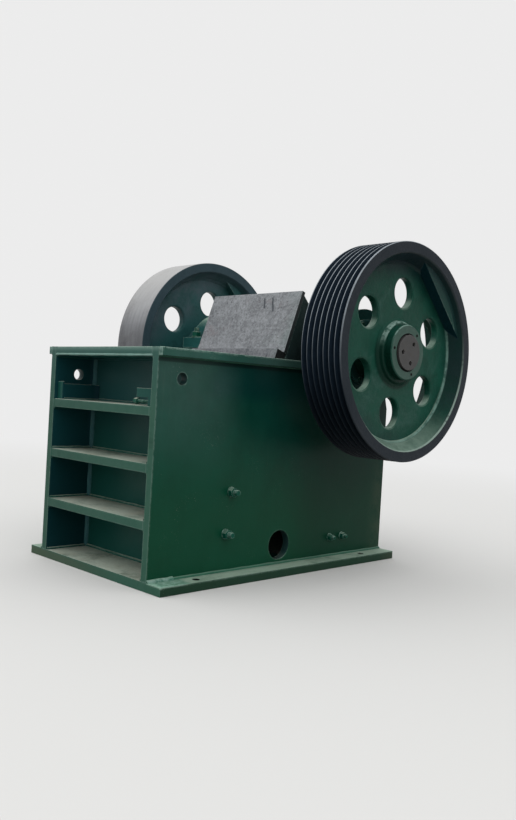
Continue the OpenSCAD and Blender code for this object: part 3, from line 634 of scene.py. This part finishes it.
STEEL = bare_steel_material("machined_steel")
SPRING = bare_steel_material("spring_steel", tone=0.4, rust=0.2, metal=0.5)
DISC = bare_steel_material("disc_steel", tone=0.17, rust=0.1, metal=0.1, rough=0.55)
TOGGLE = bare_steel_material("toggle_casting", tone=0.6, rust=0.6, metal=0.4, rough=0.6)
HOLE_SHADE = hole_shade_material()

FINISH = {
    "fixed_jaw_plate": WEAR, "movable_jaw_plate": WEAR_PALE, "jaw_guard_plate": GUARD, "sheave": SHEAVE,
    "flywheel": FLYWHEEL, "eccentric_shaft": STEEL, "tension_rod": STEEL, "adjusting_shims": STEEL,
    "toggle_plate": TOGGLE, "front_top_beam": PAINT_EDGE, "base_plate": PAINT_BASE,
    "adjusting_block": PAINT_CAST, "movable_jaw": PAINT_JAW,
}
for side in ("right", "left"):
    FINISH[f"cheek_plates_{side}"] = WEAR
    FINISH[f"top_flange_{side}"] = PAINT_EDGE
    for part in ("housing", "cap", "cover"):
        FINISH[f"bearing_{part}_{side}"] = PAINT_CAST
EDGE_RADIUS = 0.003
ROUNDED = {"movable_jaw": 0.008, "adjusting_block": 0.004, "toggle_plate": 0.004, "jaw_guard_plate": 0.0015}
for name, node in NODES.items():
    finish = FINISH.get(name, PAINT)
    node.data.materials.clear()
    node.data.materials.append(finish)
    plain_plate = finish in (PAINT, PAINT_EDGE, PAINT_BASE) and "bolt" not in name
    if not (plain_plate or name in ROUNDED):
        continue
    join = node.modifiers.new("join", "WELD")
    join.merge_threshold = 0.00002
    if plain_plate:
        whole = node.modifiers.new("whole_faces", "DECIMATE")
        whole.decimate_type = "DISSOLVE"
        whole.angle_limit = math.radians(0.5)
    bevel = node.modifiers.new("rounded", "BEVEL")
    bevel.width = ROUNDED.get(name, EDGE_RADIUS)
    bevel.segments = 2
    bevel.limit_method = "ANGLE"
    bevel.angle_limit = math.radians(40)


# Meshes made of closed lofts

SHARP = math.radians(38)


def added(name, data):
    """A new object in the scene."""
    made = bpy.data.objects.new(name, data)
    bpy.context.scene.collection.objects.link(made)
    return made


def placed(name, mesh, body):
    made = added(name, mesh)
    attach(made, body)
    return made


class Stock:
    """Points and faces of closed shapes, gathered into one mesh."""

    def __init__(self):
        self.points = []
        self.faces = []

    def loft(self, rings):
        count = len(rings[0])
        base = len(self.points)
        for ring in rings:
            self.points += [tuple(p) for p in ring]
        for k in range(len(rings) - 1):
            for i in range(count):
                j = (i + 1) % count
                low = base + k * count
                self.faces.append((low + i, low + j, low + count + j, low + count + i))
        last = base + (len(rings) - 1) * count
        self.faces.append(tuple(base + i for i in reversed(range(count))))
        self.faces.append(tuple(last + i for i in range(count)))

    def piece(self, name, material, body, slot):
        mesh = bpy.data.meshes.new(name)
        mesh.from_pydata(self.points, [], self.faces)
        mesh.validate()
        mesh.materials.append(material)
        mesh.shade_smooth()
        mesh.set_sharp_from_angle(angle=SHARP)
        return placed(name, mesh, body)


def directions(axis):
    """Two directions that make a right-handed frame with an axis."""
    side = Z if abs(axis.z) < 0.9 else X
    u = side.cross(axis).normalized()
    return u, axis.cross(u).normalized()


def round_ring(origin, axis, radius, height, count=32):
    """radius is a number or a function of the angle, and so is height."""
    u, v = directions(axis)
    ring = []
    for i in range(count):
        a = 2 * math.pi * i / count
        r = radius(a) if callable(radius) else radius
        h = height(a) if callable(height) else height
        ring.append(origin + u * (r * math.cos(a)) + v * (r * math.sin(a)) + axis * h)
    return ring


def bar(stock, origin, axis, radius, length, count=24):
    """A plain round bar or disc."""
    stock.loft([round_ring(origin, axis, radius, h, count) for h in (0, length)])


def washer(stock, origin, axis, radius, thick):
    profile = ((radius, 0), (radius, thick * 0.75), (radius - thick * 0.25, thick), (radius * 0.3, thick))
    stock.loft([round_ring(origin, axis, r, h) for r, h in profile])


def nut(stock, origin, axis, flats, height, turn=0.0, both=True):
    """A six-sided nut or head whose corners are cut by a cone at its outer end, or at both."""
    count = 48
    half = flats / 2
    flat_round = half * 0.96

    def side(a):
        return half / math.cos((a + turn) % (math.pi / 3) - math.pi / 6)

    def cut(a):
        return (side(a) - flat_round) * 0.5

    if both:
        rings = [round_ring(origin, axis, flat_round, 0, count), round_ring(origin, axis, side, cut, count)]
    else:
        rings = [round_ring(origin, axis, side, 0, count)]
    rings.append(round_ring(origin, axis, side, lambda a: height - cut(a), count))
    rings.append(round_ring(origin, axis, flat_round, height, count))
    stock.loft(rings)


def thread(stock, origin, axis, radius, length, pitch):
    """A screw thread with a chamfered end."""
    depth = pitch * 0.6
    steps = max(8, int(length / pitch * 4))
    rings = []
    for k in range(steps + 1):
        h = length * k / steps
        end = min(1.0, (length - h) / (pitch * 1.5) + 0.35)

        def wave(a, h=h, end=end):
            phase = (h / pitch + a / (2 * math.pi)) % 1
            return (radius - depth * abs(2 * phase - 1)) * (0.9 + 0.1 * end)

        rings.append(round_ring(origin, axis, wave, h, 24))
    stock.loft(rings)


def bolt_end(stock, at, axis, washer_size, nut_size, thread_size, turn):
    """Washer, nut and the thread that stands out of it. Their sizes are (radius, thickness), (flats, height)
    and (radius, length, pitch)."""
    radius, thick = washer_size
    flats, height = nut_size
    washer(stock, at, axis, radius, thick)
    nut(stock, at + axis * thick, axis, flats, height, turn)
    thread(stock, at + axis * (thick + height - 0.002), axis, *thread_size)


BEAD_PITCH = 0.011


def stations(start, end, pitch, per_pitch):
    """The direction of a straight weld, and even distances along it with some in each pitch of its ripples."""
    along = end - start
    length = along.length
    along.normalize()
    count = max(4, int(length / pitch * per_pitch))
    return along, [length * k / count for k in range(count + 1)]


def bead(stock, start, end, a, b, seed, leg=0.011, rough=0.1, pitch=BEAD_PITCH):
    """A fillet weld in the corner from start to end. a and b point from the corner along the two plates."""
    start, end = Vector(start), Vector(end)
    rnd = random.Random(seed)
    out = (a + b).normalized()
    along, distances = stations(start, end, pitch, 3)
    waves = [(rnd.uniform(4, 30), rnd.uniform(0, 6.3), rnd.uniform(0.3, 1)) for _ in range(5)]
    rings = []
    for d in distances:
        slow = sum(math.sin(f * d * 2 + p) * w for f, p, w in waves) / 3
        size = leg * (1 + rough * slow)
        ripple = (d / pitch) % 1
        crown = size * (0.16 + 0.13 * (1 - ripple) + 0.5 * rough * slow)
        middle = start + along * d
        ring = [middle - out * 0.0006]
        for i in range(5):
            t = i / 4
            lag = -pitch * 0.5 * 4 * t * (1 - t) if 0 < d < distances[-1] else 0.0
            ring.append(middle + a * (size * (1 - t)) + b * (size * t) + out * (crown * math.sin(math.pi * t))
                        + along * lag)
        rings.append(ring)
    stock.loft(rings)


def seam(stock, start, end, side, out, width, height, seed):
    """A low weld or strip of round section on a flat face, across a butt joint."""
    start, end = Vector(start), Vector(end)
    phase = random.Random(seed).uniform(0, 6.3)
    along, distances = stations(start, end, BEAD_PITCH, 2)
    rings = []
    for d in distances:
        size = width / 2 * (1 + 0.08 * math.sin(d * 37 + phase) + 0.05 * math.sin(d * 91 + phase))
        rise = height * (0.85 + 0.3 * ((d / BEAD_PITCH) % 1) * 0.5)
        middle = start + along * d
        sunk = middle - out * 0.0008
        ring = [sunk - side * size * 0.9]
        for i in range(5):
            t = i / 4
            ring.append(middle + side * (size * (2 * t - 1)) + out * (rise * math.sin(math.pi * t)))
        ring.append(sunk + side * size * 0.9)
        rings.append(ring)
    stock.loft(rings)


# Weld beads

def front_bay_welds(inner, corner, s, seed):
    """The front bays' beads along one side plate."""
    x, inward = s * INNER_X, X * -s
    floor = BASE_TOP
    for top in RIB_TOPS:
        under = top - RIB
        low = CLAMP_BAR_TOP if top == TOP else floor
        seed += 7
        bead(corner, (x, WALL_Y, low), (x, WALL_Y, under), inward, -Y, seed, 0.017, 0.12)
        if top != TOP:
            bead(inner, (x, FRONT + 0.004, floor), (x, WALL_Y, floor), inward, Z, seed + 1)
        bead(inner, (x, FRONT + 0.004, under), (x, WALL_Y, under), inward, -Z, seed + 2)
        seam(inner, (x, FRONT, under), (x, FRONT, top), X, -Y, 0.02, 0.0022, seed + 3)
        floor = top
    return seed


def rear_bay_welds(inner, s, seed):
    """The rear bays' beads along one side plate."""
    x, inward = s * INNER_X, X * -s
    floor = BASE_TOP
    for top in REAR_TOPS:
        under = top - RIB
        seed += 7
        bead(inner, (x, REAR_WALL_Y, floor), (x, REAR_WALL_Y, under), inward, Y, seed, 0.014, 0.12)
        bead(inner, (x, REAR_WALL_Y, under), (x, REAR - 0.004, under), inward, -Z, seed + 1)
        bead(inner, (x, REAR_WALL_Y, floor), (x, REAR - 0.004, floor), inward, Z, seed + 2)
        seam(inner, (x, REAR, under), (x, REAR, top), X, Y, 0.02, 0.0022, seed + 3)
        floor = top
    return seed


def outside_welds(outer, lump, s, seed):
    """Beads on the outer face of one side plate, and the big one at the near front foot."""
    x, away = s * SIDE_X, X * s
    seed += 7
    bead(outer, (x, FRONT, BASE_TOP), (x, REAR, BASE_TOP), away, Z, seed, rough=0.14)
    if s > 0:
        bead(lump, (x, FRONT + 0.001, BASE_TOP), (x, -0.76, BASE_TOP), away, Z, seed + 1, 0.016, 0.3, 0.023)
    low = TOP_FLANGE_BOTTOM
    bead(outer, (x, FRONT + 0.002, low), (x, SEAT_FRONT, low), away, -Z, seed + 2, 0.006)
    seam(outer, (x, FRONT + 0.002, TOP), (x, SEAT_FRONT, TOP), X, Z, 0.012, 0.0014, seed + 3)
    for (y0, z0), (y1, z1) in zip(SEAT_EDGE, SEAT_EDGE[1:]):
        step = Vector((0, y1 - y0, z1 - z0)).normalized()
        down = Vector((0, step.z, -step.y))
        seed += 1
        bead(outer, (x, y0, z0), (x, y1, z1), away, down, seed, 0.013)
    return seed


def cross_bead(stock, y, z, a, b, seed, leg=0.011):
    """A bead from one side plate to the other."""
    bead(stock, (-INNER_X, y, z), (INNER_X, y, z), a, b, seed, leg)


def plate_welds():
    inner, outer, corner, lump, strip = Stock(), Stock(), Stock(), Stock(), Stock()
    seed = 0
    for s in (1, -1):
        seed = front_bay_welds(inner, corner, s, seed)
        seed = rear_bay_welds(inner, s, seed)
        seed = outside_welds(outer, lump, s, seed)
        x, z = s * CLAMP_BAR_X, RIB_TOPS[2]
        bead(inner, (x, CLAMP_BAR_START, z), (x, WALL_Y, z), X * -s, Z, seed + 4, 0.008)
    for top in RIB_TOPS:
        seed += 5
        if top != TOP:
            cross_bead(inner, WALL_Y, top, -Y, Z, seed)
        cross_bead(inner, WALL_Y, top - RIB, -Y, -Z, seed + 1)
    for top in REAR_TOPS:
        seed += 5
        cross_bead(inner, REAR_WALL_Y, top - RIB, Y, -Z, seed)
        if top != REAR_TOPS[-1]:
            cross_bead(inner, REAR_WALL_Y, top, Y, Z, seed + 1)
    cross_bead(inner, WALL_Y, BASE_TOP, -Y, Z, seed + 9, 0.012)
    cross_bead(inner, REAR_WALL_Y, BASE_TOP, Y, Z, seed + 10, 0.012)
    strip_z = 1.1345
    seam(strip, (-INNER_X, FRONT, strip_z), (INNER_X, FRONT, strip_z), Z, -Y, 0.011, 0.004, seed + 11)
    for stock, name, paint in ((strip, "top_beam_strip", PAINT_STRIP_HIGHLIGHT), (inner, "welds_bays", PAINT_WELD),
                               (corner, "welds_bay_corners", PAINT_CORNER),
                               (outer, "welds_outside", PAINT_BEAD), (lump, "weld_front_foot", PAINT_LUMP)):
        stock.piece(name, paint, "frame", "green_paint")


plate_welds()


# Fasteners

def spot(r, degrees):
    """Y and Z of a point at radius r from the shaft's axis."""
    a = math.radians(degrees)
    return r * math.cos(a), r * math.sin(a)


def hardware(stock, name):
    return stock.piece(name, PAINT_HARDWARE, "frame", "plain_steel")


def side_bolts(s, side):
    """Cheek and rear bolts of one side plate, and the bolts of its bearing's cap and cover."""
    out = X * s
    cheek, rear, cap, cover = Stock(), Stock(), Stock(), Stock()
    for i, (y, z) in enumerate(CHEEK_BOLTS):
        bar(cheek, Vector((s * 0.396, y, z)), out, 0.0158, 0.088)
        bolt_end(cheek, Vector((s * SIDE_X, y, z)), out, (0.027, 0.004), (0.046, 0.026), (0.0155, 0.03, 0.0035),
                 0.3 + i)
    for i, (y, z) in enumerate(REAR_BOLTS):
        bolt_end(rear, Vector((s * SIDE_X, y, z)), out, (0.023, 0.004), (0.035, 0.02), (0.0115, 0.022, 0.003),
                 0.2 + 0.5 * i)
    for y in (AXIS_Y - CAP_BOLT_REACH, AXIS_Y + CAP_BOLT_REACH):
        at = Vector((s * CAP_BOLT_X, y, CAP_FLANGE_TOP))
        bolt_end(cap, at, Z, (0.034, 0.006), (0.052, 0.03), (0.0165, 0.03, 0.0035), 0.2)
    for i in range(8):
        y, z = spot(COVER_BOLT_RADIUS, 22.5 + 45 * i)
        nut(cover, Vector((s * COVER_BOLT_X, AXIS_Y + y, AXIS_Z + z)), out, 0.022, 0.012, i * 0.7, both=False)
    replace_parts(hardware(cheek, f"cheek_bolt_set_{side}"), f"cheek_bolts_{side}")
    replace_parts(hardware(rear, f"rear_bolt_set_{side}"), f"rear_bolts_{side}")
    hardware(cap, f"bearing_cap_bolts_{side}")
    hardware(cover, f"bearing_cover_bolts_{side}")


def fasteners():
    for s, side in ((1, "right"), (-1, "left")):
        side_bolts(s, side)
    clamp = Stock()
    at = Vector((CLAMP_BAR_X, -0.892, 0.909))
    thread(clamp, at, -X, 0.0088, 0.112, 0.0025)
    nut(clamp, at - X * 0.08, -X, 0.0295, 0.024, 0.4)
    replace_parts(hardware(clamp, "clamp_bolt_set"), "clamp_bolt_right")
    # Painted shade: dark discs at the bottom of the base's bolt holes.
    shade_discs = Stock()
    for x in (-BASE_BOLT_X, BASE_BOLT_X):
        for y in (-BASE_BOLT_Y, BASE_BOLT_Y):
            bar(shade_discs, Vector((x, y, 0.001)), Z, 0.0172, 0.004)
    shade_discs.piece("bolt_hole_shade", HOLE_SHADE, "frame", "dark_steel")


fasteners()


# Ends of the shaft: a disc with three sunk holes, and tapped holes in the hub's face; dark discs of painted shade
# fill their depths

def circle(curve, centre, radius):
    """Adds a closed round outline to a flat curve."""
    handle = radius * 0.5523
    u, v = centre
    spline = curve.splines.new("BEZIER")
    spline.bezier_points.add(3)
    for point, (cu, cv) in zip(spline.bezier_points, ((1, 0), (0, 1), (-1, 0), (0, -1))):
        point.co = (u + radius * cu, v + radius * cv, 0)
        point.handle_left = (u + radius * cu + handle * cv, v + radius * cv - handle * cu, 0)
        point.handle_right = (u + radius * cu - handle * cv, v + radius * cv + handle * cu, 0)
    spline.use_cyclic_u = True


def end_disc(name, s):
    """The disc on the shaft's end, with three holes right through it."""
    radius, thick, rounding = 0.098, 0.027, 0.002
    curve = bpy.data.curves.new(name, "CURVE")
    curve.dimensions = "2D"
    curve.fill_mode = "BOTH"
    curve.extrude = thick / 2 - rounding
    curve.bevel_depth = rounding
    curve.bevel_resolution = 1
    curve.resolution_u = 24
    circle(curve, (0, 0), radius - rounding)
    for turn in (52, 180, -76):
        circle(curve, spot(0.06, turn), 0.0145)
    flat = added(name + "_curve", curve)
    bpy.context.view_layer.update()
    mesh = bpy.data.meshes.new_from_object(flat.evaluated_get(bpy.context.evaluated_depsgraph_get()))
    bpy.data.objects.remove(flat)
    middle_x = s * (HUB_FACE - 0.0015)
    mesh.transform(Matrix(((0, 0, s, middle_x), (1, 0, 0, AXIS_Y), (0, 1, 0, AXIS_Z), (0, 0, 0, 1))))
    mesh.name = name
    mesh.materials.clear()
    mesh.materials.append(DISC)
    mesh.set_sharp_from_angle(angle=SHARP)
    return placed(name, mesh, "rotor")


def shaft_ends():
    for s, side in ((1, "right"), (-1, "left")):
        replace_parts(end_disc(f"end_disc_{side}", s), f"shaft_disc_{side}")
        floor, taps = Stock(), Stock()
        # Painted shade: a dark disc seen through the end disc's holes, and dark discs for the tapped holes.
        bar(floor, Vector((s * (HUB_FACE - 0.002), AXIS_Y, AXIS_Z)), X * s, 0.093, 0.004, 48)
        floor.piece(f"end_disc_floor_{side}", HOLE_SHADE, "rotor", "dark_steel")
        for turn in (52, 172, -69):
            y, z = spot(0.127, turn)
            bar(taps, Vector((s * (HUB_FACE - 0.0005), AXIS_Y + y, AXIS_Z + z)), X * s, 0.0085, 0.0008, 20)
        taps.piece(f"hub_tapped_hole_shades_{side}", HOLE_SHADE, "rotor", "dark_steel")


shaft_ends()


# Coil spring and the rod's threaded end

def coil_spring():
    """A compression spring whose end turns lie closed and are ground flat."""
    wire, mean_radius, y0, y1 = 0.0095, 0.0475, 0.697, 0.908
    turns, closed_turns, steps, count = 7.5, 0.9, 32, 14
    free_length = y1 - y0 - 2 * wire - 2 * closed_turns * 2 * wire
    rings = []
    for k in range(int(turns * steps) + 1):
        t = k / steps
        free = min(max((t - closed_turns) / (turns - 2 * closed_turns), 0.0), 1.0)
        closed = min(t, closed_turns) + max(0.0, t - (turns - closed_turns))
        y = y0 + wire + closed * 2 * wire + free * free_length
        a = 2 * math.pi * t
        radial = Vector((math.cos(a), 0, math.sin(a)))
        centre = Vector((mean_radius * math.cos(a), y, ROD_Z + mean_radius * math.sin(a)))
        thin = min(1.0, 0.55 + t * 0.9, 0.55 + (turns - t) * 0.9)
        ring = []
        for i in range(count):
            b = 2 * math.pi * i / count
            ring.append(centre + radial * (wire * math.cos(b)) + Y * (wire * thin * math.sin(b)))
        rings.append(ring)
    stock, end = Stock(), Stock()
    stock.loft(rings)
    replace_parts(stock.piece("coil_spring", SPRING, "swing_jaw", "dark_steel"), "tension_spring")
    thread(end, Vector((0, ROD_THREAD_Y, ROD_Z)), Y, 0.0206, 0.0155, 0.0035)
    end.piece("rod_thread", STEEL, "swing_jaw", "plain_steel")


coil_spring()


# Floor, light and camera

PALE = (0.84, 0.84, 0.84, 1)
PHOTO_HEIGHT, FOCAL_LENGTH = 820, 809.346


def studio_floor():
    """A floor that fades into the backdrop away from the machine."""
    s = Shader("studio_floor", rough=0.9)
    s.dull()
    path = s.add("LightPath", {}).outputs
    tone = s.mix(path["Is Diffuse Ray"], (0.62, 0.62, 0.61, 1), (0.24, 0.23, 0.21, 1))
    s.feed(s.surface.inputs["Base Color"], tone)
    glow = s.add("Emission", {"Color": PALE, "Strength": 1.0})
    far = s.times(s.level(s.length(s.x, s.y), 3.0, 10.0), path["Is Camera Ray"])
    blend = s.add("MixShader", {0: far, 1: s.surface.outputs[0], 2: glow.outputs[0]})
    s.feed(s.tree.nodes["Material Output"].inputs[0], blend.outputs[0])
    mesh = bpy.data.meshes.new("floor")
    turns = [math.radians(a) for a in range(0, 360, 6)]
    rim = [(40 * math.cos(a), 40 * math.sin(a), -0.0005) for a in turns]
    mesh.from_pydata(rim, [], [tuple(range(len(rim)))])
    mesh.materials.append(s.material)
    added("floor", mesh)


def overcast_sky():
    """White light that is strongest from above, and a plain backdrop for what the camera and reflections see."""
    world = bpy.data.worlds.new("studio")
    bpy.context.scene.world = world
    world.use_nodes = True
    s = Nodes(world.node_tree)
    around = s.add("TexCoord", {}).outputs["Generated"]
    lean = s.add("VectorMath", {0: around, 1: (-0.12, -0.12, 0.8)}, operation="DOT_PRODUCT").outputs["Value"]
    sky = s.tree.nodes["Background"]
    s.feed(sky.inputs[0], (1, 1, 1, 1))
    s.feed(sky.inputs[1], s.plus(lean, 0.68))
    backdrop = s.add("Background", {0: PALE})
    path = s.add("LightPath", {}).outputs
    seen = s.either(s.either(path["Is Camera Ray"], path["Is Glossy Ray"]), path["Is Transmission Ray"])
    chosen = s.add("MixShader", {0: seen, 1: sky.outputs[0], 2: backdrop.outputs[0]})
    s.feed(s.tree.nodes["World Output"].inputs[0], chosen.outputs[0])


def soft_lamps():
    for place, power in (((-2.5, -3.5, 5.5), 40), ((4.5, -2.0, 5.0), 20)):
        lamp = bpy.data.lights.new("soft_lamp", "AREA")
        lamp.size = 4.0
        lamp.energy = power
        held = added("soft_lamp", lamp)
        held.location = place
        aim = Vector((0, 0, 0.8)) - Vector(place)
        held.rotation_euler = aim.to_track_quat("-Z", "Y").to_euler()


def photo_camera():
    lens = bpy.data.cameras.new("camera")
    lens.sensor_width = 36
    lens.lens = lens.sensor_width * FOCAL_LENGTH / PHOTO_HEIGHT
    camera = added("camera", lens)
    turn = Matrix(((0.70396839, -0.05463561, 0.70812672), (0.70781899, -0.02813592, -0.7058333),
                   (0.05848743, 0.99810987, 0.01886532)))
    camera.matrix_world = Matrix.Translation((3.54644, -3.28698, 0.97409)) @ turn.to_4x4()
    bpy.context.scene.camera = camera


studio_floor()
overcast_sky()
soft_lamps()
photo_camera()
bpy.context.scene.view_settings.view_transform = "Standard"
